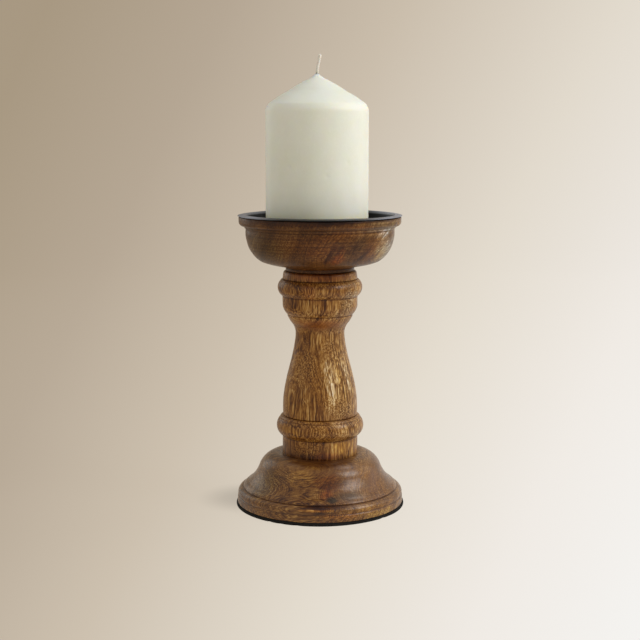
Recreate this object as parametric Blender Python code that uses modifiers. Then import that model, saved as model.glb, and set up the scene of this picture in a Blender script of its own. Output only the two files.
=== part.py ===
"""Turned wooden candlestick with a black metal drip pan and a pillar candle.

Every length is in metres.  +Z is up, the turning axis is the Z axis, and the
origin is the centre of the underside.  Each turned piece is an outline in the
(radius, height) half plane, swept round the axis by a Screw modifier.
"""
import math

import bmesh
import bpy

MM = 0.001

# Turning resolution and the gap left between touching pieces
GAP = 0.3 * MM
LARGE_STEPS = 40
SMALL_STEPS = 24
ARC_STEP = math.radians(24.0)

# Foot and base
PAD_RADIUS = 57.7 * MM
PAD_THICKNESS = 2.4 * MM
BASE_RADIUS = 56.9 * MM
BASE_TOP = 35.6 * MM
BASE_BAND_TOP = 6.8 * MM
BASE_STEP = 12.7 * MM
SHADOW_LINE = 0.5 * MM

# Stem
STEM_RADIUS = 25.6 * MM
VASE_RADIUS = 25.3 * MM
NECK_RADIUS = 16.5 * MM
NECK_HEIGHT = 120.0 * MM
STEM_TOP = 161.5 * MM
TENON_CHAMFER = 1.0 * MM
FOOT_TENON_RADIUS = 12.0 * MM
FOOT_TENON_LENGTH = 19.0 * MM
CUP_TENON_RADIUS = 10.0 * MM
CUP_TENON_LENGTH = 13.0 * MM

# Bowl and drip pan
BOWL_RADIUS = 54.7 * MM
BOWL_BODY_RADIUS = 50.15 * MM
BOWL_RIM_TOP = 196.7 * MM
BOWL_RIM_BOTTOM = 190.9 * MM
PAN_LIP_RADIUS = 55.3 * MM
PAN_LIP_EDGE = 197.5 * MM
PAN_CREST_RADIUS = 51.6 * MM
PAN_CREST_HEIGHT = 199.2 * MM
PAN_WELL_RADIUS = 49.6 * MM
PAN_FLOOR = 191.6 * MM
PAN_SHEET = 0.8 * MM
DIMPLE_DEPTH = 3.0 * MM
DIMPLE_RADIUS = 6.0 * MM
DIMPLE_FLARE = 2.0 * MM

# Candle, a standard 69 by 100 mm pillar that stands a little off the axis
CANDLE_RADIUS = 34.5 * MM
CANDLE_HEIGHT = 100.0 * MM
CANDLE_SHOULDER = 24.0 * MM
CANDLE_OFFSET = -2.0 * MM
WICK_RADIUS = 0.85 * MM
WICK_STICKOUT = 11.5 * MM
WICK_LEAN = 2.0 * MM
TAB_RADIUS = 8.0 * MM
TAB_SHEET = 0.5 * MM
COLLAR_RADIUS = 1.9 * MM
COLLAR_HEIGHT = 5.5 * MM

# Fasteners
SCREW_RADIUS = 2.1 * MM
SCREW_BORE = SCREW_RADIUS + GAP
SCREW_POINT = 4.0 * MM
HEAD_RADIUS = 4.0 * MM
HEAD_HEIGHT = 2.3 * MM
BASE_SCREW_LENGTH = 34.0 * MM
PAN_SCREW_LENGTH = 32.0 * MM
PILOT_FOOT_DEPTH = 24.0 * MM
PILOT_TOP_DEPTH = 20.0 * MM
WASHER_RADIUS = 8.0 * MM
WASHER_THICKNESS = 1.2 * MM
WASHER_SEAT = 8.0 * MM


def clear_scene():
    for item in list(bpy.data.objects):
        bpy.data.objects.remove(item, do_unlink=True)


def new_collection(name):
    collection = bpy.data.collections.new(name)
    bpy.context.scene.collection.children.link(collection)
    return collection


def finish(name, color, roughness, metallic=0.0, coat=0.0):
    material = bpy.data.materials.new(name)
    material.use_nodes = True
    shader = material.node_tree.nodes["Principled BSDF"]
    shader.inputs["Base Color"].default_value = (*color, 1.0)
    shader.inputs["Roughness"].default_value = roughness
    shader.inputs["Metallic"].default_value = metallic
    shader.inputs["Coat Weight"].default_value = coat
    return material


# Outlines
def arc(start, end, rise):
    """Points after start along the arc to end that bulges outwards by rise."""
    if rise == 0.0:
        return [end]
    run_r = end[0] - start[0]
    run_z = end[1] - start[1]
    chord = math.hypot(run_r, run_z)
    half_turn = 2.0 * math.atan(2.0 * rise / chord)
    reach = abs(chord / (2.0 * math.sin(half_turn)))
    to_centre = chord / (2.0 * math.tan(half_turn))
    centre_r = (start[0] + end[0]) / 2.0 + to_centre * run_z / chord
    centre_z = (start[1] + end[1]) / 2.0 - to_centre * run_r / chord
    first = math.atan2(start[1] - centre_z, start[0] - centre_r)
    steps = max(2, math.ceil(abs(2.0 * half_turn) / ARC_STEP))
    points = []
    for step in range(1, steps + 1):
        angle = first - 2.0 * half_turn * step / steps
        points.append((centre_r + reach * math.cos(angle), centre_z + reach * math.sin(angle)))
    return points


def outline(corners):
    """Corners are (radius, height), or (radius, height, rise of the arc that arrives there)."""
    points = [corners[0]]
    for corner in corners[1:]:
        rise = corner[2] if len(corner) == 3 else 0.0
        points.extend(arc(points[-1], corner[:2], rise))
    return points


def sweep(start, handle_a, handle_b, end, steps):
    """Points after start along a cubic curve to end."""
    points = []
    for step in range(1, steps + 1):
        t = step / steps
        s = 1.0 - t
        weights = (s * s * s, 3.0 * s * s * t, 3.0 * s * t * t, t * t * t)
        knots = (start, handle_a, handle_b, end)
        points.append(tuple(sum(w * knot[i] for w, knot in zip(weights, knots)) for i in (0, 1)))
    return points


# Solids
def turned(name, points, material, collection, steps=LARGE_STEPS, sheet=0.0):
    """Turn an outline that runs from the top, down the outside, to the bottom.

    An outline that starts or ends off the axis is closed along a bore, and
    one with a sheet thickness stays open and gets its thickness underneath.
    """
    mesh = bpy.data.meshes.new(name)
    work = bmesh.new()
    verts = [work.verts.new((radius, 0.0, height)) for radius, height in points]
    for first, second in zip(verts, verts[1:]):
        work.edges.new((first, second))
    if points[0][0] > 0.0 and not sheet:
        work.edges.new((verts[-1], verts[0]))
    work.to_mesh(mesh)
    work.free()
    item = bpy.data.objects.new(name, mesh)
    collection.objects.link(item)
    item.data.materials.append(material)
    turn = item.modifiers.new("turn", 'SCREW')
    turn.axis = 'Z'
    turn.steps = steps
    turn.render_steps = steps
    turn.use_merge_vertices = True
    turn.merge_threshold = 0.00001
    turn.use_smooth_shade = True
    if sheet:
        skin = item.modifiers.new("sheet", 'SOLIDIFY')
        skin.thickness = sheet
        skin.offset = -1.0
    return item


def cross_recess(item, height, collection):
    """Cut a cross slot into the face of a screw head at this height."""
    for quarter in (0.0, math.pi / 2.0):
        bpy.ops.mesh.primitive_cube_add(size=1.0, location=(0.0, 0.0, height), rotation=(0.0, 0.0, quarter))
        blade = bpy.context.object
        blade.name = item.name + "_blade"
        blade.scale = (4.4 * MM, 1.0 * MM, 2.6 * MM)
        for owner in list(blade.users_collection):
            owner.objects.unlink(blade)
        collection.objects.link(blade)
        blade.hide_render = True
        blade.display_type = 'WIRE'
        cut = item.modifiers.new("cross", 'BOOLEAN')
        cut.operation = 'DIFFERENCE'
        cut.solver = 'EXACT'
        cut.object = blade


def wood_screw(name, seat, length, points_up, material, parts, cutters):
    """A pan-head wood screw whose head bears at the seat height."""
    corners = [
        (0.0, HEAD_HEIGHT),
        (0.6 * HEAD_RADIUS, HEAD_HEIGHT),
        (HEAD_RADIUS, 0.35 * HEAD_HEIGHT, 0.3 * MM),
        (HEAD_RADIUS, 0.0),
        (SCREW_RADIUS, 0.0),
        (SCREW_RADIUS, SCREW_POINT - length),
        (0.0, -length),
    ]
    points = [(radius, seat + height) for radius, height in outline(corners)]
    face = seat + HEAD_HEIGHT
    if points_up:
        points = [(radius, 2.0 * seat - height) for radius, height in reversed(points)]
        face = seat - HEAD_HEIGHT
    screw = turned(name, points, material, parts, steps=SMALL_STEPS)
    cross_recess(screw, face, cutters)
    return screw


# Holder pieces
def make_base_pad(material, parts):
    edge = 0.9 * MM
    points = outline([
        (0.0, PAD_THICKNESS),
        (PAD_RADIUS, PAD_THICKNESS),
        (PAD_RADIUS, edge),
        (PAD_RADIUS - edge, 0.0, 0.25 * MM),
        (0.0, 0.0),
    ])
    return turned("base_pad", points, material, parts)


def make_base(material, parts):
    """Face-grain disc: dome, cove, step, rounded bead and a straight band."""
    bottom = PAD_THICKNESS + GAP
    mortise_radius = FOOT_TENON_RADIUS + GAP
    mortise_floor = BASE_TOP - FOOT_TENON_LENGTH - GAP
    washer_bore = WASHER_RADIUS + 0.8 * MM
    step_radius = 53.2 * MM
    points = outline([
        (SCREW_BORE, mortise_floor),
        (mortise_radius, mortise_floor),
        (mortise_radius, BASE_TOP),
        (STEM_RADIUS, BASE_TOP),
        (41.4 * MM, 27.8 * MM, 3.0 * MM),
        (49.3 * MM, 16.1 * MM, -1.0 * MM),
        (step_radius, BASE_STEP, 0.3 * MM),
        (step_radius, BASE_STEP - SHADOW_LINE),
        (BASE_RADIUS - 0.4 * MM, BASE_BAND_TOP + 1.3 * MM, 0.6 * MM),
        (BASE_RADIUS - SHADOW_LINE, BASE_BAND_TOP),
        (BASE_RADIUS, BASE_BAND_TOP - SHADOW_LINE),
        (BASE_RADIUS, bottom),
        (washer_bore, bottom),
        (washer_bore, WASHER_SEAT),
        (SCREW_BORE, WASHER_SEAT),
    ])
    return turned("base", points, material, parts)


def stem_head():
    """Outline from the upper pilot bore down over the beads to the neck."""
    tenon_top = STEM_TOP + CUP_TENON_LENGTH
    pilot = tenon_top - PILOT_TOP_DEPTH
    disc_foot = 156.2 * MM
    bead_foot = 144.5 * MM
    groove = 131.7 * MM
    return outline([
        (0.0, pilot),
        (SCREW_BORE, pilot),
        (SCREW_BORE, tenon_top),
        (CUP_TENON_RADIUS - TENON_CHAMFER, tenon_top),
        (CUP_TENON_RADIUS, tenon_top - TENON_CHAMFER),
        (CUP_TENON_RADIUS, STEM_TOP),
        (23.4 * MM, STEM_TOP),
        (24.7 * MM, 160.1 * MM, 0.4 * MM),
        (VASE_RADIUS, disc_foot),
        (25.1 * MM, disc_foot - 0.3 * MM),
        (26.0 * MM, disc_foot - 0.4 * MM),
        (VASE_RADIUS, bead_foot, 2.9 * MM),
        (VASE_RADIUS, 138.1 * MM),
        (22.5 * MM, groove + 0.6 * MM, 0.5 * MM),
        (21.9 * MM, groove),
        (22.1 * MM, groove - 0.6 * MM),
        (18.3 * MM, 125.0 * MM, 0.2 * MM),
        (NECK_RADIUS, NECK_HEIGHT, -0.3 * MM),
    ])


def stem_foot():
    """Outline from the bead ring under the vase down to the lower pilot bore."""
    shoulder = BASE_TOP + GAP
    tenon_end = shoulder - FOOT_TENON_LENGTH
    pilot = tenon_end + PILOT_FOOT_DEPTH
    ring_top = 62.6 * MM
    ring_foot = 48.2 * MM
    return outline([
        (VASE_RADIUS, ring_top + 0.3 * MM),
        (VASE_RADIUS - 0.4 * MM, ring_top),
        (VASE_RADIUS + 0.6 * MM, ring_top - 0.3 * MM),
        (STEM_RADIUS, ring_foot, 4.1 * MM),
        (STEM_RADIUS, shoulder),
        (FOOT_TENON_RADIUS, shoulder),
        (FOOT_TENON_RADIUS, tenon_end + TENON_CHAMFER),
        (FOOT_TENON_RADIUS - TENON_CHAMFER, tenon_end),
        (SCREW_BORE, tenon_end),
        (SCREW_BORE, pilot),
        (0.0, pilot),
    ])


def make_stem(material, parts):
    """Long-grain spindle: disc, beads, neck, vase, bead ring and two tenons."""
    vase = sweep(
        (NECK_RADIUS, NECK_HEIGHT),
        (NECK_RADIUS, 104.0 * MM),
        (VASE_RADIUS, 88.0 * MM),
        (VASE_RADIUS, 68.0 * MM),
        8,
    )
    return turned("stem", stem_head() + vase + stem_foot(), material, parts)


def make_bowl(material, parts):
    """Face-grain cup with a shallow recess that the drip pan drops into."""
    recess_floor = PAN_FLOOR - PAN_SHEET - GAP
    recess_radius = PAN_WELL_RADIUS + PAN_SHEET + GAP
    foot = STEM_TOP + GAP
    foot_radius = 21.4 * MM
    foot_ring = 163.4 * MM
    mortise_radius = CUP_TENON_RADIUS + GAP
    mortise_top = STEM_TOP + CUP_TENON_LENGTH + GAP
    dimple_radius = DIMPLE_RADIUS + DIMPLE_FLARE + PAN_SHEET + GAP
    rim_edge = 0.5 * MM
    points = outline([
        (SCREW_BORE, recess_floor - DIMPLE_DEPTH),
        (dimple_radius, recess_floor - DIMPLE_DEPTH),
        (dimple_radius, recess_floor),
        (recess_radius - 1.6 * MM, recess_floor),
        (recess_radius, BOWL_RIM_TOP),
        (BOWL_RADIUS - rim_edge, BOWL_RIM_TOP),
        (BOWL_RADIUS, BOWL_RIM_TOP - rim_edge, 0.1 * MM),
        (BOWL_RADIUS, 193.7 * MM),
        (51.9 * MM, BOWL_RIM_BOTTOM, 0.7 * MM),
        (BOWL_BODY_RADIUS, BOWL_RIM_BOTTOM),
        (49.4 * MM, 181.8 * MM, 0.4 * MM),
        (39.9 * MM, 168.1 * MM, 1.8 * MM),
        (27.0 * MM, foot_ring + 1.6 * MM, 0.6 * MM),
        (25.8 * MM, foot_ring + 1.0 * MM),
        (24.6 * MM, foot_ring, 0.3 * MM),
        (foot_radius, foot_ring),
        (foot_radius, foot),
        (mortise_radius, foot),
        (mortise_radius, mortise_top),
        (SCREW_BORE, mortise_top),
    ])
    return turned("bowl", points, material, parts)


def make_drip_pan(material, parts):
    """Pressed sheet: screw dimple, flat floor, well wall and a lip over the wood."""
    dimple_floor = PAN_FLOOR - DIMPLE_DEPTH
    points = outline([
        (SCREW_BORE, dimple_floor),
        (DIMPLE_RADIUS, dimple_floor),
        (DIMPLE_RADIUS + DIMPLE_FLARE, PAN_FLOOR),
        (PAN_WELL_RADIUS - 3.4 * MM, PAN_FLOOR),
        (PAN_WELL_RADIUS - 1.2 * MM, PAN_FLOOR + 2.0 * MM, -0.6 * MM),
        (PAN_WELL_RADIUS, 198.0 * MM),
        (PAN_CREST_RADIUS, PAN_CREST_HEIGHT, 0.6 * MM),
        (PAN_LIP_RADIUS, PAN_LIP_EDGE, 0.35 * MM),
    ])
    return turned("drip_pan", points, material, parts, sheet=PAN_SHEET)


# Fasteners
def make_base_washer(material, parts):
    top = WASHER_SEAT - GAP
    points = outline([
        (SCREW_BORE, top),
        (WASHER_RADIUS, top),
        (WASHER_RADIUS, top - WASHER_THICKNESS),
        (SCREW_BORE, top - WASHER_THICKNESS),
    ])
    return turned("base_washer", points, material, parts, steps=SMALL_STEPS)


def make_base_screw(material, parts, cutters):
    seat = WASHER_SEAT - WASHER_THICKNESS - 2.0 * GAP
    return wood_screw("base_screw", seat, BASE_SCREW_LENGTH, True, material, parts, cutters)


def make_pan_screw(material, parts, cutters):
    seat = PAN_FLOOR - DIMPLE_DEPTH + GAP
    return wood_screw("pan_screw", seat, PAN_SCREW_LENGTH, False, material, parts, cutters)


# Candle pieces
def make_candle(material, parts):
    foot = PAN_FLOOR + GAP
    top = foot + CANDLE_HEIGHT
    shoulder = top - CANDLE_SHOULDER
    bore = WICK_RADIUS + GAP
    edge = 0.8 * MM
    tab_recess = foot + TAB_SHEET + GAP
    collar_bore = COLLAR_RADIUS + GAP
    collar_top = foot + COLLAR_HEIGHT + GAP
    points = outline([
        (bore, top - 0.3 * MM),
        (19.4 * MM, top - 11.0 * MM, 0.4 * MM),
        (31.7 * MM, top - 18.5 * MM, 0.2 * MM),
        (CANDLE_RADIUS, shoulder, 0.9 * MM),
        (CANDLE_RADIUS, foot + edge),
        (CANDLE_RADIUS - edge, foot, 0.2 * MM),
        (TAB_RADIUS + GAP, foot),
        (TAB_RADIUS + GAP, tab_recess),
        (collar_bore, tab_recess),
        (collar_bore, collar_top),
        (bore, collar_top),
    ])
    candle = turned("candle", points, material, parts)
    candle.location.x = CANDLE_OFFSET
    return candle


def make_wick_tab(material, parts):
    foot = PAN_FLOOR + GAP
    bore = WICK_RADIUS + GAP
    points = outline([
        (bore, foot + COLLAR_HEIGHT),
        (COLLAR_RADIUS, foot + COLLAR_HEIGHT),
        (COLLAR_RADIUS, foot + TAB_SHEET),
        (TAB_RADIUS, foot + TAB_SHEET),
        (TAB_RADIUS, foot),
        (bore, foot),
    ])
    tab = turned("wick_tab", points, material, parts, steps=SMALL_STEPS)
    tab.location.x = CANDLE_OFFSET
    return tab


def make_wick(material, parts):
    """A cord from the tab straight up the candle, leaning over above the wax."""
    foot = PAN_FLOOR + 2.0 * GAP
    wax_top = PAN_FLOOR + GAP + CANDLE_HEIGHT
    free_steps = 5
    curve = bpy.data.curves.new("wick", 'CURVE')
    curve.dimensions = '3D'
    curve.bevel_depth = WICK_RADIUS
    curve.bevel_resolution = 2
    curve.use_fill_caps = True
    line = curve.splines.new('POLY')
    line.points.add(free_steps + 1)
    line.points[0].co = (0.0, 0.0, foot, 1.0)
    for step in range(free_steps + 1):
        rise = step / free_steps
        line.points[step + 1].co = (WICK_LEAN * rise * rise, 0.0, wax_top + WICK_STICKOUT * rise, 1.0)
    wick = bpy.data.objects.new("wick", curve)
    parts.objects.link(wick)
    wick.location.x = CANDLE_OFFSET
    curve.materials.append(material)
    return wick


def main():
    clear_scene()
    parts = new_collection("wooden_candlestick")
    cutters = new_collection("cutters")

    wood_base = finish("mango_wood_base", (0.30, 0.15, 0.06), 0.42, coat=0.3)
    wood_stem = finish("mango_wood_stem", (0.40, 0.20, 0.07), 0.40, coat=0.3)
    wood_bowl = finish("mango_wood_bowl", (0.27, 0.12, 0.05), 0.40, coat=0.3)
    enamel = finish("black_enamel", (0.012, 0.012, 0.014), 0.25, coat=0.4)
    foam = finish("black_foam", (0.010, 0.010, 0.010), 0.90)
    steel = finish("zinc_steel", (0.62, 0.62, 0.60), 0.30, metallic=1.0)
    wax = finish("ivory_wax", (0.82, 0.80, 0.66), 0.38)
    cotton = finish("waxed_cotton", (0.80, 0.76, 0.66), 0.85)

    make_base_pad(foam, parts)
    make_base(wood_base, parts)
    make_base_washer(steel, parts)
    make_base_screw(steel, parts, cutters)
    make_stem(wood_stem, parts)
    make_bowl(wood_bowl, parts)
    make_drip_pan(enamel, parts)
    make_pan_screw(steel, parts, cutters)
    make_candle(wax, parts)
    make_wick_tab(steel, parts)
    make_wick(cotton, parts)


main()
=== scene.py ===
"""Looks of a turned wooden candlestick: fine meshes, node materials, studio light and camera.

Outlines are in millimetres, as (radius, height) pairs that run from the top of
a piece, down its outside, to its bottom.  A piece with a bore starts and ends
inside it.  Ends and widest radii are worked out from the frame's boxes.
"""

import math

import bpy
import numpy as np
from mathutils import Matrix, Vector


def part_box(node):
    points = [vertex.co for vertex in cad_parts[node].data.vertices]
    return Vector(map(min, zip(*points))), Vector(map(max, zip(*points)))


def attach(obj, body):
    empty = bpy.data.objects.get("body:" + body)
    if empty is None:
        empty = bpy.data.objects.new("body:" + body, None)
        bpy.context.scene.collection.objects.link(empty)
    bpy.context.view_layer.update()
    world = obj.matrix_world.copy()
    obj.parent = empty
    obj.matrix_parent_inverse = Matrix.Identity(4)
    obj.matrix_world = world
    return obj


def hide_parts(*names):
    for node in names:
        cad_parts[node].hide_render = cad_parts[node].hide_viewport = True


MM = 0.001
FULL_TURN = 2.0 * math.pi

# How an outline is sampled, softened and thinned, in millimetres and radians
SAMPLE = 0.1
SANDING = 0.15
HOLLOW_REACH = 0.45
WIDEST_STEP = 0.9
SHARPEST_TURN = math.radians(7.0)

# Edges sharper than this stay crisp when the piece is shaded smooth
SMOOTH_ANGLE = math.radians(50.0)

# The least depth, in millimetres, that a blotch of colour reaches into the wood
PATCH_DEPTH = 6.0

# Millimetres from one turn of a screw's thread to the next
THREAD_PITCH = 2.6

# Millimetres from the candle's axis to the right, at the wick's tip
WICK_LEAN = 1.8

# Where the camera stands, in metres
CAMERA_PLACE = (0.0, -0.8609, 0.2561)

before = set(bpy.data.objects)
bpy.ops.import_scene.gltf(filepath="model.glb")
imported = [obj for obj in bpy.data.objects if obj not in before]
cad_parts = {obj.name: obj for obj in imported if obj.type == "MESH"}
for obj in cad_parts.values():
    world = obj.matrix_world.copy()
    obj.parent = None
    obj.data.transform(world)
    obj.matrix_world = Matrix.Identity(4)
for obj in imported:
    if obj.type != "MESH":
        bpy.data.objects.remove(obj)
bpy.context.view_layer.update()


def span(node):
    """Lowest and highest corner of a CAD node, in millimetres."""
    low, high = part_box(node)
    return low / MM, high / MM


# Outlines
def arc(start, end, rise):
    """Points after start along the arc to end that bulges outwards by rise."""
    if rise == 0.0:
        return [end]
    run_r = end[0] - start[0]
    run_z = end[1] - start[1]
    chord = math.hypot(run_r, run_z)
    half_turn = 2.0 * math.atan(2.0 * rise / chord)
    reach = abs(chord / (2.0 * math.sin(half_turn)))
    to_centre = chord / (2.0 * math.tan(half_turn))
    centre_r = (start[0] + end[0]) / 2.0 + to_centre * run_z / chord
    centre_z = (start[1] + end[1]) / 2.0 - to_centre * run_r / chord
    first = math.atan2(start[1] - centre_z, start[0] - centre_r)
    steps = max(4, math.ceil(abs(half_turn) / math.radians(2.0)))
    points = []
    for step in range(1, steps + 1):
        angle = first - 2.0 * half_turn * step / steps
        points.append((centre_r + reach * math.cos(angle), centre_z + reach * math.sin(angle)))
    return points


def outline(corners):
    """Corners are (radius, height), or (radius, height, rise of the arc that arrives there)."""
    points = [tuple(corners[0])]
    for corner in corners[1:]:
        rise = corner[2] if len(corner) == 3 else 0.0
        points.extend(arc(points[-1], corner[:2], rise))
    return points


def sweep(start, handle_a, handle_b, end, steps=60):
    """Points after start along a cubic curve to end."""
    t = np.linspace(0.0, 1.0, steps + 1)[1:, None]
    s = 1.0 - t
    knots = [np.array(knot) for knot in (start, handle_a, handle_b, end)]
    curve = s**3 * knots[0] + 3 * s * s * t * knots[1] + 3 * s * t * t * knots[2] + t**3 * knots[3]
    return [tuple(point) for point in curve]


def blur(values, sigma):
    """Gaussian blur along an outline that leaves its two ends in place."""
    reach = max(1, int(3.0 * sigma))
    kernel = np.exp(-0.5 * (np.arange(-reach, reach + 1) / sigma) ** 2)
    padded = np.pad(values, reach, mode="reflect", reflect_type="odd")
    return np.convolve(padded, kernel / kernel.sum(), mode="valid")


def sanded(points, sanding=SANDING):
    """Soften an outline's corners, then keep only the points its shape needs.

    Returns radius, height, the outward normal and the bend at each point.
    Bend is positive in a hollow and negative on an edge.
    """
    points = np.array(points)
    run = np.concatenate([[0.0], np.cumsum(np.hypot(*np.diff(points, axis=0).T))])
    along = np.linspace(0.0, run[-1], int(run[-1] / SAMPLE) + 2)
    pitch = along[1]
    radius = blur(np.interp(along, run, points[:, 0]), sanding / pitch)
    height = blur(np.interp(along, run, points[:, 1]), sanding / pitch)
    heading = np.unwrap(np.arctan2(np.gradient(height), np.gradient(radius)))
    turn = np.gradient(heading) / pitch
    bend = blur(turn, HOLLOW_REACH / pitch)
    keep = [0]
    turned_by = 0.0
    for i in range(1, len(along) - 1):
        turned_by += abs(turn[i]) * pitch
        gap = along[i] - along[keep[-1]]
        if gap > WIDEST_STEP or (turned_by > SHARPEST_TURN and gap > 1.5 * SAMPLE):
            keep.append(i)
            turned_by = 0.0
    keep.append(len(along) - 1)
    normal = np.stack([-np.sin(heading), np.cos(heading)], axis=1)
    radius = np.maximum(radius, 0.0)
    return radius[keep], height[keep], normal[keep], bend[keep]


# Solids
def new_piece(name, verts, faces, material, body, marks=None):
    """Make a smooth mesh object from millimetres that rides on a body of the frame."""
    mesh = bpy.data.meshes.new(name)
    mesh.from_pydata((np.asarray(verts) * MM).tolist(), [], faces)
    for key, values in (marks or {}).items():
        layer = mesh.attributes.new(key, 'FLOAT', 'POINT')
        layer.data.foreach_set("value", np.asarray(values, np.float32))
    mesh.shade_smooth()
    mesh.set_sharp_from_angle(angle=SMOOTH_ANGLE)
    mesh.materials.append(material)
    piece = bpy.data.objects.new(name, mesh)
    bpy.context.scene.collection.objects.link(piece)
    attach(piece, body)
    return piece


def lathe(name, points, material, body, steps=256, relief=None, sanding=SANDING, centre=0.0):
    """Sweep an outline round an upright axis at x = centre.

    Relief is a function of (angle, radius, height) that gives how far each
    point stands proud of the outline.  An outline that starts off the axis
    is closed into a loop.
    """
    radius, height, normal, bend = sanded(points, sanding)
    loop = radius[0] > SAMPLE
    angle = np.arange(steps) * FULL_TURN / steps
    a, r = np.meshgrid(angle, radius)
    z = np.repeat(height[:, None], steps, axis=1)
    proud = relief(a, r, z) if relief else np.zeros_like(r)
    proud[r < SAMPLE] = 0.0
    r = np.maximum(r + proud * normal[:, :1], 0.0)
    z = z + proud * normal[:, 1:]
    grid = np.stack([r * np.cos(a) + centre, r * np.sin(a), z], axis=2)
    verts = []
    rows = []
    for i in range(len(radius)):
        on_axis = not loop and radius[i] < SAMPLE
        first = len(verts)
        verts.extend(grid[i, :1] if on_axis else grid[i])
        rows.append([first] * steps if on_axis else list(range(first, first + steps)))
    counts = [1 if row[0] == row[1] else steps for row in rows]
    faces = []
    pairs = list(zip(rows, rows[1:]))
    if loop:
        pairs.append((rows[-1], rows[0]))
    for upper, lower in pairs:
        for j in range(steps):
            k = (j + 1) % steps
            corners = (upper[j], lower[j], lower[k], upper[k])
            faces.append(tuple(dict.fromkeys(corners)))
    faces = [face for face in faces if len(face) > 2]
    return new_piece(name, verts, faces, material, body, {"bend": np.repeat(bend, counts)})


# Relief
def hand_turned(seed, dents=0, where=(0.0, 0.0), oval=0.12, ripple=0.05):
    """A slightly oval section, soft tool waves, and small dents between two heights."""
    chance = np.random.default_rng(seed)
    phase = chance.uniform(0.0, FULL_TURN, 6)
    spots = []
    for _ in range(dents):
        turn = chance.uniform(0.0, FULL_TURN)
        level = chance.uniform(*where)
        size = chance.uniform(0.9, 2.2)
        depth = chance.uniform(0.08, 0.3)
        spots.append((turn, level, size, depth))

    def relief(angle, radius, height):
        proud = oval * np.cos(2.0 * angle + phase[0]) + 0.3 * oval * np.cos(3.0 * angle + phase[1])
        wave = np.sin(height / 1.7 + phase[2] + 0.4 * np.sin(angle + phase[3]))
        proud += ripple * wave * np.sin(height / 4.3 + phase[4])
        proud += 0.5 * ripple * np.sin(5.0 * angle + height / 6.0 + phase[5])
        for turn, level, size, depth in spots:
            across = radius * np.angle(np.exp(1j * (angle - turn)))
            proud -= depth * np.exp(-(across**2 + (height - level) ** 2) / size**2)
        return proud

    return relief


def screw_relief(seat, direction, length):
    """A cross recess in the head and a thread that runs out towards the point."""
    arm_half_width = 0.62
    arm_reach = 2.3
    recess_depth = 1.2
    thread_height = 0.65

    def relief(angle, radius, height):
        rise = (height - seat) * direction
        arm = np.minimum(abs(radius * np.cos(angle)), abs(radius * np.sin(angle)))
        in_arm = np.clip((arm_half_width - arm) / 0.2, 0.0, 1.0)
        in_reach = np.clip((arm_reach - radius) / 0.3, 0.0, 1.0)
        recess = recess_depth * in_arm * in_reach * (rise > 1.7)
        phase = (rise / THREAD_PITCH - direction * angle / FULL_TURN) % 1.0
        ridge = np.clip(1.0 - abs(phase - 0.5) / 0.28, 0.0, 1.0)
        run_in = np.clip((-rise - 5.0) / 2.0, 0.0, 1.0) * np.clip((rise + length) / 4.0, 0.0, 1.0)
        return thread_height * ridge * run_in - recess

    return relief


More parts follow.
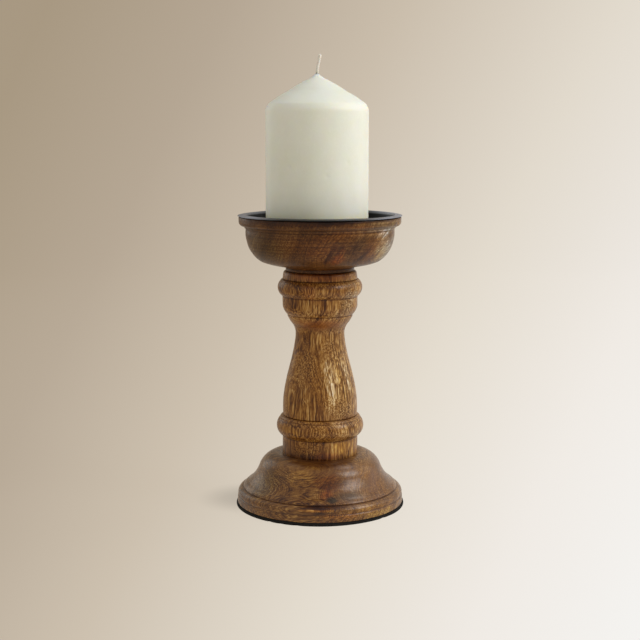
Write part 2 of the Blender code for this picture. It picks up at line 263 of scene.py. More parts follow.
# Materials
class Recipe:
    """Builds one node material whose textures work on the piece's own millimetres."""

    def __init__(self, name):
        self.material = bpy.data.materials.new(name)
        self.material.use_nodes = True
        self.tree = self.material.node_tree
        self.shader = self.tree.nodes["Principled BSDF"]
        place = self.add("ShaderNodeTexCoord").outputs["Object"]
        self.place = self.vector('SCALE', place, scale=1.0 / MM)

    def add(self, kind, **settings):
        node = self.tree.nodes.new(kind)
        for key, value in settings.items():
            setattr(node, key, value)
        return node

    def feed(self, socket, value):
        if isinstance(value, bpy.types.NodeSocket):
            self.tree.links.new(value, socket)
        else:
            socket.default_value = value

    def math(self, operation, a, b=0.0, c=0.0):
        node = self.add("ShaderNodeMath", operation=operation)
        for socket, value in zip(node.inputs, (a, b, c)):
            self.feed(socket, value)
        return node.outputs[0]

    def vector(self, operation, a, b=(0.0, 0.0, 0.0), scale=1.0, out=0):
        """Vector maths; out is 1 for the number that a length or a dot product gives."""
        node = self.add("ShaderNodeVectorMath", operation=operation)
        self.feed(node.inputs[0], a)
        if operation == 'SCALE':
            self.feed(node.inputs[3], scale)
        elif operation != 'LENGTH':
            self.feed(node.inputs[1], b)
        return node.outputs[out]

    def stretched(self, at, *factors):
        return self.vector('MULTIPLY', at, factors)

    def noise(self, at, detail=2.0, roughness=0.5, colour=False):
        node = self.add("ShaderNodeTexNoise")
        self.feed(node.inputs["Vector"], at)
        node.inputs["Scale"].default_value = 1.0
        node.inputs["Detail"].default_value = detail
        node.inputs["Roughness"].default_value = roughness
        return node.outputs["Color" if colour else "Fac"]

    def warp(self, at, factors, amount, detail=1.0):
        """Push points about by a noise; amount is in millimetres along each axis."""
        push = self.noise(self.stretched(at, *factors), detail, colour=True)
        push = self.vector('SUBTRACT', push, (0.5, 0.5, 0.5))
        return self.vector('ADD', at, self.stretched(push, *amount))

    def add_linked(self, kind, *values):
        node = self.add(kind)
        for socket, value in zip(node.inputs, values):
            self.feed(socket, value)
        return node

    def split(self, at):
        return self.add_linked("ShaderNodeSeparateXYZ", at).outputs

    def join(self, x, y, z):
        return self.add_linked("ShaderNodeCombineXYZ", x, y, z).outputs[0]

    def ease(self, value, low, high):
        """0 up to low, 1 from high on, smooth between; low may be the larger number."""
        node = self.add("ShaderNodeMapRange", interpolation_type='SMOOTHSTEP')
        flip = low > high
        self.feed(node.inputs["Value"], value)
        node.inputs["From Min"].default_value = min(low, high)
        node.inputs["From Max"].default_value = max(low, high)
        node.inputs["To Min"].default_value = 1.0 if flip else 0.0
        node.inputs["To Max"].default_value = 0.0 if flip else 1.0
        return node.outputs["Result"]

    def mix(self, share, a, b, blend='MIX'):
        """Mix two colours; the node's colour sockets are its inputs 6 and 7 and its output 2."""
        node = self.add("ShaderNodeMix", data_type='RGBA', blend_type=blend)
        self.feed(node.inputs["Factor"], share)
        self.feed(node.inputs[6], a if isinstance(a, bpy.types.NodeSocket) else (*a, 1.0))
        self.feed(node.inputs[7], b if isinstance(b, bpy.types.NodeSocket) else (*b, 1.0))
        return node.outputs[2]

    def ramp(self, value, *stops):
        node = self.add("ShaderNodeValToRGB")
        self.feed(node.inputs[0], value)
        band = node.color_ramp
        while len(band.elements) < len(stops):
            band.elements.new(0.5)
        for element, (position, colour) in zip(band.elements, stops):
            element.position = position
            element.color = (*colour, 1.0)
        return node.outputs[0]

    def mark(self, name):
        return self.add("ShaderNodeAttribute", attribute_name=name).outputs["Fac"]

    def bump(self, height, distance, strength=1.0):
        """Raise the surface by a height texture; distance is in millimetres."""
        node = self.add("ShaderNodeBump")
        self.feed(node.inputs["Height"], height)
        node.inputs["Distance"].default_value = distance * MM
        node.inputs["Strength"].default_value = strength
        self.tree.links.new(node.outputs[0], self.shader.inputs["Normal"])
        return node.outputs[0]

    def set(self, **values):
        for key, value in values.items():
            self.feed(self.shader.inputs[key.replace("_", " ")], value)


class Patch:
    """A soft-edged blotch of colour on a turned piece.

    Turn is in degrees to the right of the front, and height and radius place the
    middle.  Width and length are half sizes.  Tint multiplies the wood's colour,
    and share is how much of it shows.  Lean tips the top of a long blotch that
    many degrees to the right.
    """

    def __init__(self, turn, height, radius, width, length, tint=None, share=1.0, lean=0.0):
        bearing = math.radians(turn)
        tip = math.radians(lean)
        self.centre = (radius * math.sin(bearing), -radius * math.cos(bearing), height)
        right = Vector((math.cos(bearing), math.sin(bearing), 0.0))
        outward = Vector((math.sin(bearing), -math.cos(bearing), 0.0))
        upward = Vector((0.0, 0.0, 1.0))
        self.axes = (
            (right * math.cos(tip) - upward * math.sin(tip)) / width,
            outward / max(width, PATCH_DEPTH),
            (right * math.sin(tip) + upward * math.cos(tip)) / length,
        )
        self.tint = tint
        self.share = share


# Tints that multiply the wood's linear colour, so a part may be more than 1
DARK = (0.50, 0.38, 0.26)
DEEP = (0.36, 0.23, 0.13)
RED = (1.00, 0.74, 0.60)
GOLD = (1.45, 1.50, 1.15)
PALE = (1.45, 1.65, 2.00)
GREY = (0.90, 1.02, 1.45)
OLIVE = (0.80, 1.00, 1.20)
AMBER = (1.70, 1.50, 1.20)
CREAM = (1.75, 2.25, 2.60)
# A bluish white, used for painted sheen where light grazes the lacquer
SHEEN_WHITE = (1.45, 2.05, 3.80)
MILKY = (1.10, 1.28, 1.80)
SLATE = (0.30, 0.42, 0.90)


def srgb(red, green, blue):
    """Linear colour of a display colour given in 0 to 255."""
    parts = (part / 255.0 for part in (red, green, blue))
    return tuple(part / 12.92 if part < 0.04045 else ((part + 0.055) / 1.055) ** 2.4 for part in parts)


def wood(name, fibre, pith, tones, patches, speckles=(), calm=(), grain=1.0, layers=1.0,
         spacing=0.62, reach=24.0, swirl=12.0, turning=0.0, burn=0.85, coat=0.3):
    """Lacquered mango wood as a solid: layers round a pith, streaks and pores along the fibre.

    Fibre is the direction the fibre runs in, and pith is a point on the growth
    axis, in millimetres.  Speckles are the places where the figure is short and
    curly in place of long and straight, and calm places have little figure.
    Grain and layers are the strengths of the streaks and of the fine layers.
    Spacing and reach are the width and length of the fine layers, swirl is how
    far they wander, turning is the strength of the lathe's tool lines, burn is the
    darkening of the grooves, and coat is the amount of lacquer.
    """
    r = Recipe(name)
    along = Vector(fibre).normalized()
    side = along.orthogonal().normalized()
    offset = r.vector('SUBTRACT', r.place, pith)
    parts = [r.vector('DOT_PRODUCT', offset, axis, out=1) for axis in (side, along.cross(side), along)]
    log = r.warp(r.join(*parts), (0.03, 0.03, 0.012), (swirl, swirl, 0.0), 2.0)
    log = r.warp(log, (0.16, 0.16, 0.07), (2.0, 2.0, 0.0), 1.0)
    x, y, z = r.split(log)[:3]
    depth = r.math('SQRT', r.math('ADD', r.math('MULTIPLY', x, x), r.math('MULTIPLY', y, y)))

    def layer(width, length, seed, detail=2.0):
        at = r.join(r.math('DIVIDE', depth, width), seed, r.math('DIVIDE', z, length))
        return r.noise(at, detail)

    def cover(patch):
        offset = r.vector('SUBTRACT', r.place, patch.centre)
        parts = [r.vector('DOT_PRODUCT', offset, tuple(axis), out=1) for axis in patch.axes]
        away = r.vector('LENGTH', r.join(*parts), out=1)
        edge = r.math('MULTIPLY_ADD', r.math('SUBTRACT', ragged, 0.5), 1.3, away)
        return r.math('MULTIPLY', r.ease(edge, 1.15, 0.35), patch.share)

    ragged = r.noise(r.stretched(log, 0.35, 0.35, 0.12), 3.0, 0.6)
    broad = layer(9.0, 140.0, 3.1)
    fine = layer(spacing, reach, 17.3, 2.0)
    streak = r.noise(r.stretched(log, 1.4, 1.4, 0.11), 2.0, 0.6)
    thread = r.noise(r.stretched(log, 1.0, 1.0, 0.035), 2.0, 0.6)
    long_figure = r.math('ADD', r.math('MULTIPLY', streak, 0.5), r.math('MULTIPLY', thread, 0.5))
    straight = r.ease(long_figure, 0.38, 0.62)
    curly = r.ease(r.noise(r.stretched(log, 1.5, 1.5, 0.95), 2.0, 0.6), 0.38, 0.62)
    place = r.noise(r.stretched(r.place, 0.05, 0.05, 0.045), 1.0)
    where = r.math('MULTIPLY', r.ease(place, 0.56, 0.66), 0.8)
    for speckle in speckles:
        where = r.math('MAXIMUM', where, cover(speckle))
    figure = r.mix(where, straight, curly)
    lively = 1.0
    for patch in calm:
        lively = r.math('MULTIPLY', lively, r.math('MULTIPLY_ADD', cover(patch), -0.8, 1.0))
    lines = r.noise(r.stretched(r.place, 0.008, 0.008, 0.95), 2.0, 0.6)
    detail = r.math('MULTIPLY', r.math('SUBTRACT', fine, 0.5), 0.9 * layers)
    detail = r.math('MULTIPLY_ADD', r.math('SUBTRACT', figure, 0.5), 0.5 * grain, detail)
    tone = r.math('MULTIPLY_ADD', broad, 0.75, 0.10)
    tone = r.math('MULTIPLY_ADD', detail, lively, tone)
    tone = r.math('MULTIPLY_ADD', r.math('SUBTRACT', lines, 0.5), turning, tone)
    colour = r.ramp(tone, *tones)

    pores = r.ease(r.noise(r.stretched(log, 2.6, 2.6, 0.28), 1.0), 0.60, 0.70)
    pores = r.math('MULTIPLY', pores, lively)
    veins = r.math('MULTIPLY', r.ease(fine, 0.47, 0.36), lively)
    colour = r.mix(r.math('MULTIPLY', veins, 0.5 * layers), colour, DARK, 'MULTIPLY')
    colour = r.mix(r.math('MULTIPLY', pores, 0.75 * grain), colour, DARK, 'MULTIPLY')
    for patch in patches:
        colour = r.mix(cover(patch), colour, patch.tint, 'MULTIPLY')

    bend = r.mark("bend")
    uneven = r.noise(r.stretched(r.place, 0.12, 0.12, 0.5), 2.0)
    hollow = r.ease(r.math('MULTIPLY', bend, r.math('ADD', uneven, 0.5)), 0.10, 0.80)
    colour = r.mix(r.math('MULTIPLY', hollow, burn), colour, DEEP, 'MULTIPLY')
    pale_edges = r.math('MULTIPLY', r.ease(bend, -0.5, -1.5), r.ease(uneven, 0.42, 0.62))
    colour = r.mix(r.math('MULTIPLY', pale_edges, 0.35), colour, PALE, 'MULTIPLY')

    dust = r.noise(r.stretched(r.place, 0.5, 0.5, 0.5), 3.0)
    relief = r.math('SUBTRACT', r.math('MULTIPLY', figure, 0.35), pores)
    relief = r.math('MULTIPLY_ADD', lines, 0.4 + turning, relief)
    relief = r.math('MULTIPLY_ADD', veins, -0.5, relief)
    surface = r.bump(relief, 0.06, 0.9)
    gloss = r.math('MULTIPLY_ADD', dust, 0.14, 0.34)
    gloss = r.math('MULTIPLY_ADD', pores, 0.2, gloss)
    r.set(Base_Color=colour, Roughness=gloss, Specular_IOR_Level=0.15, Coat_Normal=surface)
    r.set(Coat_Weight=coat, Coat_Roughness=r.math('MULTIPLY_ADD', dust, 0.12, 0.15), Coat_IOR=1.5)
    return r.material


STEM_TONES = (
    (0.10, (0.070, 0.021, 0.003)),
    (0.34, (0.162, 0.058, 0.009)),
    (0.54, (0.284, 0.123, 0.023)),
    (0.74, (0.425, 0.218, 0.055)),
    (0.95, (0.560, 0.352, 0.135)),
)
BASE_TONES = (
    (0.10, (0.060, 0.017, 0.002)),
    (0.36, (0.132, 0.049, 0.008)),
    (0.56, (0.204, 0.087, 0.016)),
    (0.76, (0.296, 0.148, 0.036)),
    (0.95, (0.415, 0.245, 0.082)),
)
BOWL_TONES = (
    (0.10, (0.040, 0.011, 0.002)),
    (0.36, (0.080, 0.028, 0.004)),
    (0.56, (0.120, 0.045, 0.008)),
    (0.78, (0.195, 0.086, 0.019)),
    (0.96, (0.320, 0.180, 0.060)),
)


def stem_wood():
    vase = 22.0
    neck = 17.0
    collar = 25.0
    bead = 27.0
    patches = [
        # Broad pale and gold tones on the right, partly the wood's own colour and partly painted sheen on
        # the lit side, and dark ones at the collar and the neck; the collar's is painted shade under the
        # bowl
        Patch(38.0, 44.0, vase, 7.0, 9.0, GOLD, 1.0),
        Patch(20.0, 43.0, vase, 4.0, 9.0, GOLD, 0.6),
        Patch(25.0, 92.0, vase, 4.5, 22.0, PALE, 0.5),
        Patch(-5.0, 153.8, 26.0, 22.0, 3.0, DARK, 0.6),
        Patch(6.0, 124.0, neck, 14.0, 5.0, DARK, 0.45),
        Patch(24.0, 84.0, vase, 6.0, 26.0, PALE, 0.6),
        Patch(36.0, 42.0, vase, 8.0, 9.0, GOLD, 0.5),
        Patch(48.0, 88.0, vase, 8.0, 36.0, PALE, 0.8),
        Patch(75.0, 84.0, vase, 9.0, 40.0, PALE, 0.7),
        Patch(48.0, 92.0, vase, 17.0, 80.0, MILKY, 0.9),
        # Leaning streaks on the right of the vase
        Patch(14.0, 86.0, vase, 2.2, 14.0, MILKY, 0.7, -10.0),
        Patch(20.0, 91.0, vase, 3.0, 18.0, MILKY, 0.5, -10.0),
        Patch(25.0, 88.0, vase, 1.1, 14.0, DARK, 0.9, -10.0),
        Patch(36.0, 95.0, vase, 2.2, 20.0, GOLD, 0.7, -10.0),
        Patch(45.0, 90.0, vase, 1.2, 16.0, DARK, 0.8, -10.0),
        Patch(55.0, 91.0, vase, 2.8, 20.0, MILKY, 0.9, -10.0),
        Patch(70.0, 88.0, vase, 2.2, 16.0, DARK, 0.7, -10.0),
        # Stains on the left and the front
        Patch(-38.0, 76.0, vase, 4.5, 13.0, DARK, 0.6),
        Patch(-6.0, 108.0, neck, 2.6, 9.0, DARK, 0.7),
        Patch(14.0, 66.0, collar, 5.0, 5.0, DARK, 0.5),
        # The foot, just above the base; its deep band is partly stain and partly painted shade where the
        # stem meets the base
        Patch(-10.0, 36.8, collar, 28.0, 3.4, DEEP, 0.85),
        Patch(12.0, 38.5, collar, 10.0, 3.0, RED, 0.8),
        Patch(-60.0, 42.0, collar, 10.0, 7.0, DARK, 0.7),
        # The neck and the rings above it. The deep ring at the top is partly stain and partly painted
        # shade under the bowl's foot, and the grey and pale patches on the right are painted sheen
        Patch(0.0, 127.0, 18.0, 18.0, 4.5, RED, 0.8),
        Patch(-15.0, 150.0, 26.0, 6.0, 7.0, RED, 0.7),
        Patch(0.0, 160.0, collar, 30.0, 4.0, RED, 0.9),
        Patch(0.0, 161.2, collar, 30.0, 2.0, DEEP, 0.8),
        Patch(50.0, 145.0, collar, 9.0, 14.0, GREY, 0.8),
        Patch(60.0, 150.0, collar, 12.0, 14.0, PALE, 0.6),
        # The bead near the foot, and the cylinder below it; the pale and gold patches on their right are
        # painted sheen
        Patch(40.0, 55.0, bead, 9.0, 5.0, PALE, 0.5),
        Patch(64.0, 55.0, bead, 9.0, 6.0, PALE, 0.8),
        Patch(64.0, 43.0, collar, 8.0, 8.0, GOLD, 0.8),
        Patch(-35.0, 53.0, bead, 5.0, 5.0, GOLD, 0.6),
    ]
    speckles = [
        Patch(-28.0, 98.0, vase, 13.0, 16.0),
        Patch(40.0, 68.0, vase, 12.0, 9.0),
        Patch(48.0, 146.0, collar, 10.0, 14.0),
        Patch(10.0, 55.0, bead, 16.0, 6.0, share=0.8),
    ]
    calm = [
        Patch(0.0, 126.0, 18.0, 26.0, 5.0, share=0.8),
        Patch(0.0, 159.0, collar, 40.0, 3.0, share=0.6),
    ]
    return wood(
        "lacquered_wood_stem", (0.04, 0.03, 1.0), (30.0, 26.0, 0.0), STEM_TONES, patches, speckles, calm,
        grain=1.1, layers=0.85, spacing=0.42,
    )


def base_wood():
    band = 57.0
    dome = 46.0
    patches = [
        # The knot at the front and the grey bloom to its right
        Patch(9.0, 15.5, 50.0, 4.2, 2.4, SLATE, 1.0),
        Patch(22.0, 17.0, 50.0, 9.0, 3.0, SLATE, 0.6),
        Patch(30.0, 18.0, 50.0, 8.0, 5.0, GREY, 0.8),
        Patch(20.0, 24.5, 42.0, 7.0, 2.4, SLATE, 0.35),
        Patch(42.0, 22.0, 44.0, 5.0, 5.0, SLATE, 0.3),
        # A red and amber glow above the knot
        Patch(8.0, 25.0, 42.0, 12.0, 6.0, RED, 0.8),
        Patch(9.0, 23.5, dome, 10.0, 3.0, DARK, 0.6),
        Patch(5.0, 18.5, 48.0, 5.0, 3.0, AMBER, 0.6),
        Patch(5.0, 18.5, 48.0, 6.0, 4.0, RED, 0.7),
        # Dark and amber lines along the bead and the band
        Patch(2.0, 11.9, 54.0, 20.0, 2.0, DEEP, 1.0),
        Patch(-3.0, 11.5, 55.0, 12.0, 1.2, DEEP, 0.7),
        Patch(0.0, 10.2, 56.0, 15.0, 0.9, AMBER, 0.8),
        Patch(-2.0, 8.5, band, 13.0, 1.0, DEEP, 0.9),
        Patch(14.0, 6.0, band, 16.0, 2.5, AMBER, 0.6),
        Patch(40.0, 8.0, band, 22.0, 4.0, GOLD, 0.7),
        Patch(46.0, 3.0, band, 16.0, 4.0, CREAM, 0.9),
        Patch(-68.0, 8.0, band, 14.0, 7.0, DARK, 0.8),
        # Broad tones of the dome; the deep ring round the stem is painted shade where the stem stands on
        # it
        Patch(52.0, 22.0, dome, 16.0, 12.0, AMBER, 0.15),
        Patch(-55.0, 20.0, dome, 14.0, 14.0, OLIVE, 0.7),
        Patch(0.0, 35.5, 27.0, 30.0, 2.4, DEEP, 0.8),
        Patch(-20.0, 27.0, 40.0, 12.0, 6.0, GOLD, 0.7),
    ]
    speckles = [Patch(-30.0, 24.0, 42.0, 20.0, 14.0, share=0.5)]
    calm = [
        Patch(28.0, 22.0, 45.0, 22.0, 16.0, share=0.6),
        Patch(0.0, 33.0, 32.0, 36.0, 4.5, share=0.6),
        Patch(75.0, 20.0, 45.0, 20.0, 20.0, share=0.3),
    ]
    return wood(
        "lacquered_wood_base", (0.95, -0.16, 0.17), (3.0, 8.0, -24.0), BASE_TONES, patches, speckles, calm,
        grain=1.0, layers=1.3, spacing=0.2, reach=5.0, swirl=5.0, turning=0.10, coat=0.6,
    )


def bowl_wood():
    side = 46.0
    rim = 54.0
    patches = [
        # Broad tones of the body
        Patch(-55.0, 179.0, side, 24.0, 15.0, OLIVE, 0.9),
        Patch(-5.0, 182.0, 48.0, 26.0, 9.0, RED, 0.4),
        Patch(2.0, 176.0, 44.0, 14.0, 9.0, AMBER, 0.4),
        # Slanting streaks right of the middle
        Patch(15.0, 175.0, 44.0, 5.0, 10.0, AMBER, 0.7, 25.0),
        Patch(15.0, 175.0, 44.0, 5.0, 10.0, RED, 0.9, 25.0),
        Patch(8.0, 176.0, side, 2.2, 16.0, DEEP, 0.9, 30.0),
        Patch(16.0, 180.0, side, 1.8, 12.0, DARK, 0.9, 30.0),
        Patch(30.0, 182.0, 48.0, 7.0, 8.0, GREY, 0.8, 25.0),
        Patch(26.0, 181.0, 48.0, 5.0, 9.0, DARK, 0.7, 25.0),
        Patch(38.0, 176.0, 44.0, 2.0, 14.0, DEEP, 0.8, 38.0),
        # The pale right side, a painted sheen where the light grazes the lacquer
        Patch(54.0, 180.0, side, 14.0, 13.0, AMBER, 0.8),
        Patch(64.0, 177.0, side, 14.0, 14.0, SHEEN_WHITE, 1.0),
        Patch(88.0, 177.0, side, 20.0, 16.0, SHEEN_WHITE, 1.0),
        Patch(78.0, 180.0, 48.0, 14.0, 14.0, PALE, 0.7),
        Patch(54.0, 177.0, 44.0, 1.6, 12.0, DARK, 0.9, 38.0),
        Patch(56.0, 183.0, 48.0, 12.0, 9.0, SHEEN_WHITE, 0.8),
        Patch(60.0, 175.0, 44.0, 12.0, 8.0, CREAM, 0.7),
        Patch(48.0, 189.5, 50.0, 26.0, 3.6, SHEEN_WHITE, 0.8),
        Patch(34.0, 190.0, 50.0, 22.0, 3.0, AMBER, 0.6),
        # The rim band, with painted sheen on its right
        Patch(40.0, 194.5, rim, 24.0, 4.6, PALE, 0.8),
        Patch(50.0, 194.0, rim, 18.0, 4.6, SHEEN_WHITE, 0.8),
        Patch(74.0, 193.0, rim, 16.0, 5.0, CREAM, 1.0),
        Patch(30.0, 194.2, rim, 14.0, 1.0, RED, 0.7),
        Patch(44.0, 193.0, rim, 12.0, 0.9, DARK, 0.8),
        Patch(-20.0, 196.8, rim, 46.0, 3.4, DEEP, 0.9),
        Patch(14.0, 197.6, rim, 28.0, 2.4, DEEP, 1.0),
        Patch(48.0, 198.0, rim, 20.0, 1.4, DARK, 0.9),
        # Under the band, and the foot, whose dark ring is painted shade where it sits on the stem
        Patch(12.0, 188.0, 50.0, 18.0, 4.0, AMBER, 0.3),
        Patch(0.0, 165.0, 27.0, 26.0, 2.0, AMBER, 0.5),
        Patch(0.0, 163.0, 24.0, 34.0, 1.6, DARK, 0.6),
    ]
    speckles = [
        Patch(58.0, 178.0, side, 20.0, 14.0),
        Patch(40.0, 194.0, rim, 30.0, 4.0, share=0.8),
    ]
    return wood(
        "lacquered_wood_bowl", (0.62, 1.0, 0.55), (-90.0, 0.0, 240.0), BOWL_TONES, patches, speckles,
        grain=0.8, layers=0.6, turning=0.6, burn=0.6, coat=0.25,
    )


def black_enamel():
    r = Recipe("black_enamel")
    peel = r.noise(r.stretched(r.place, 0.55, 0.55, 0.55), 2.0)
    dust = r.ease(r.noise(r.stretched(r.place, 3.1, 3.1, 3.1), 3.0), 0.62, 0.78)
    smear = r.noise(r.stretched(r.place, 0.09, 0.09, 0.3), 3.0)
    across, _, up = r.split(r.place)[:3]
    crest = span("drip_pan")[1].z
    lip = r.ease(up, crest - 2.0, crest - 0.8)
    # The lip's left and right ends are paler and bluish: a painted reflection of the light
    lit_lip_ends = r.ease(r.math('ABSOLUTE', across), 24.0, 50.0)
    lit_lip_ends = r.math('MULTIPLY', r.math('MULTIPLY', lit_lip_ends, lip), r.math('ADD', smear, 0.3))
    colour = r.ramp(smear, (0.3, (0.005, 0.005, 0.006)), (0.7, (0.010, 0.010, 0.012)))
    colour = r.mix(r.math('MULTIPLY', dust, 0.2), colour, (0.06, 0.06, 0.07))
    colour = r.mix(lit_lip_ends, colour, (0.30, 0.32, 0.39))
    r.bump(peel, 0.05, 0.5)
    gloss = r.math('MULTIPLY_ADD', smear, 0.25, 0.30)
    shine = r.math('MULTIPLY_ADD', lip, 0.3, 0.1)
    r.set(Base_Color=colour, Roughness=r.math('MULTIPLY_ADD', dust, 0.2, gloss), Specular_IOR_Level=shine)
    return r.material


def black_foam():
    r = Recipe("black_foam")
    cells = r.noise(r.stretched(r.place, 2.6, 2.6, 2.6), 3.0, 0.7)
    patchy = r.noise(r.stretched(r.place, 0.15, 0.15, 0.15), 2.0)
    shade = r.math('MULTIPLY', cells, r.math('ADD', patchy, 0.4))
    colour = r.ramp(shade, (0.2, (0.006, 0.006, 0.006)), (0.8, (0.020, 0.018, 0.016)))
    r.bump(cells, 0.25, 1.0)
    r.set(Base_Color=colour, Roughness=r.math('MULTIPLY_ADD', cells, 0.2, 0.75), Specular_IOR_Level=0.12)
    return r.material


def zinc_steel(name, tint):
    r = Recipe(name)
    grain = r.noise(r.stretched(r.place, 1.3, 1.3, 0.5), 3.0, 0.65)
    spangle = r.noise(r.stretched(r.place, 0.5, 0.5, 0.5), 2.0)
    pits = r.ease(r.noise(r.stretched(r.place, 4.0, 4.0, 4.0), 2.0), 0.64, 0.74)
    dull = tuple(0.6 * part for part in tint)
    colour = r.mix(r.ease(spangle, 0.35, 0.65), dull, tint)
    colour = r.mix(r.math('MULTIPLY', pits, 0.6), colour, (0.20, 0.18, 0.15))
    grime = r.ease(r.mark("bend"), 0.3, 1.6)
    colour = r.mix(grime, colour, (0.12, 0.11, 0.10))
    r.bump(r.math('SUBTRACT', grain, pits), 0.03, 0.7)
    r.set(Base_Color=colour, Metallic=0.95, Roughness=r.math('MULTIPLY_ADD', grain, 0.3, 0.22))
    return r.material


def ivory_wax():
    r = Recipe("ivory_wax")
    cloud = r.noise(r.stretched(r.place, 0.05, 0.05, 0.035), 3.0)
    frost = r.noise(r.stretched(r.place, 0.7, 0.7, 0.5), 4.0, 0.65)
    colour = r.ramp(cloud, (0.3, (0.79, 0.81, 0.72)), (0.7, (0.84, 0.86, 0.79)))
    colour = r.mix(r.math('MULTIPLY', r.ease(frost, 0.5, 0.75), 0.35), colour, (0.89, 0.91, 0.84))
    # Convex edges such as the shoulder are paler: a painted highlight
    pale_edges = r.ease(r.mark("bend"), -0.3, -1.2)
    colour = r.mix(r.math('MULTIPLY', pale_edges, 0.3), colour, (0.90, 0.92, 0.86))
    foot = span("candle")[0].z
    # The candle is darker and yellower towards its foot: painted shade from the pan around it
    painted_foot_shade = r.ease(r.split(r.place)[2], foot + 14.0, foot)
    colour = r.mix(r.math('MULTIPLY', painted_foot_shade, 0.6), colour, (0.78, 0.76, 0.50), 'MULTIPLY')
    r.bump(r.math('MULTIPLY_ADD', cloud, 3.0, frost), 0.06, 0.6)
    r.set(Base_Color=colour, Roughness=r.math('MULTIPLY_ADD', frost, 0.25, 0.34), Subsurface_Weight=0.85)
    r.set(Subsurface_Radius=(1.0, 0.85, 0.55), Subsurface_Scale=0.006)
    r.set(Coat_Weight=0.05, Coat_Roughness=0.3)
    return r.material


def waxed_cotton():
    r = Recipe("waxed_cotton")
    thread = r.noise(r.stretched(r.place, 6.0, 6.0, 1.6), 3.0, 0.7)
    wax_top = span("candle")[1].z
    soak = r.ease(r.split(r.place)[2], wax_top + 1.0, wax_top + 4.0)
    waxy = r.ramp(thread, (0.3, (0.66, 0.62, 0.48)), (0.7, (0.84, 0.82, 0.70)))
    dry = r.ramp(thread, (0.3, (0.66, 0.63, 0.56)), (0.7, (0.90, 0.88, 0.82)))
    r.bump(thread, 0.12, 1.0)
    r.set(Base_Color=r.mix(soak, waxy, dry), Roughness=r.math('MULTIPLY_ADD', soak, 0.35, 0.5))
    r.set(Sheen_Weight=0.4, Subsurface_Weight=0.3)
    r.set(Subsurface_Radius=(1.0, 0.8, 0.6), Subsurface_Scale=0.001)
    return r.material


# Holder pieces
def make_base_pad():
    low, high = span("base_pad")
    edge = 0.6
    underside = low.z + 0.1
    points = outline([
        (0.0, high.z),
        (high.x - 1.5, high.z),
        (high.x, high.z - 1.3, 0.25),
        (high.x, low.z + edge),
        (high.x - edge, underside, 0.25),
        (0.0, underside),
    ])
    relief = hand_turned(5, dents=10, where=(low.z, high.z), oval=0.1, ripple=0.06)
    pad = lathe("foam_base_pad", points, black_foam(), "holder", 288, relief)
    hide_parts("base_pad")


def make_base():
    low, high = span("base")
    screw_bore = 2.4
    tenon = 12.3
    mortise_floor = 16.3
    stem_radius = 25.6
    step = 12.7
    band = 6.8
    underside = low.z - 0.4
    washer = span("base_washer")[1]
    points = outline([
        (screw_bore, mortise_floor),
        (tenon, mortise_floor),
        (tenon, high.z),
        (stem_radius, high.z),
        (41.4, 27.8, 3.0),
        (49.3, 16.1, -1.0),
        (52.9, step + 0.2, 0.3),
        (52.7, step - 0.3),
        (53.5, step - 0.4),
        (high.x - 0.4, band + 1.0, 1.0),
        (high.x - 0.7, band + 0.2),
        (high.x - 0.1, band - 0.4),
        (high.x, underside),
        (washer.x + 0.8, underside),
        (washer.x + 0.8, washer.z + 0.3),
        (screw_bore, washer.z + 0.3),
    ])
    relief = hand_turned(21, dents=22, where=(3.0, 14.0))
    base = lathe("turned_base", points, base_wood(), "holder", 320, relief)
    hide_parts("base")


def make_stem():
    low, high = span("stem")
    shoulder = 35.6
    seat = 161.5
    cup_tenon = 10.0
    foot_tenon = 12.0
    chamfer = 1.0
    vase = 25.3
    neck = (16.5, 120.0)
    foot = 25.6
    pilot = 2.4
    top_pilot_end = high.z - 20.0
    foot_pilot_end = low.z + 24.0
    head = outline([
        (0.0, top_pilot_end),
        (pilot, top_pilot_end),
        (pilot, high.z),
        (cup_tenon - chamfer, high.z),
        (cup_tenon, high.z - chamfer),
        (cup_tenon, seat),
        (23.2, seat),
        (24.7, 159.9, 0.4),
        (vase, 156.2),
        (vase - 0.6, 155.9),
        (26.0, 155.7),
        (vase, 144.5, 2.9),
        (vase, 138.1),
        (22.5, 132.3, 0.5),
        (21.8, 131.7),
        (22.1, 131.1),
        (18.3, 125.0, 0.2),
        (*neck, -0.3),
    ])
    waist = sweep(neck, (neck[0], 104.0), (vase, 88.0), (vase, 68.0))
    tail = outline([
        (vase, 62.9),
        (vase - 0.5, 62.6),
        (vase + 0.6, 62.3),
        (27.4, 60.8, 0.25),
        (27.2, 60.5),
        (27.7, 60.3),
        (foot, 48.2, 2.9),
        (foot, shoulder),
        (foot_tenon, shoulder),
        (foot_tenon, low.z + chamfer),
        (foot_tenon - chamfer, low.z),
        (pilot, low.z),
        (pilot, foot_pilot_end),
        (0.0, foot_pilot_end),
    ])
    relief = hand_turned(34, dents=16, where=(40.0, 160.0))
    stem = lathe("turned_stem", head + waist + tail, stem_wood(), "holder", 256, relief)
    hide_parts("stem")


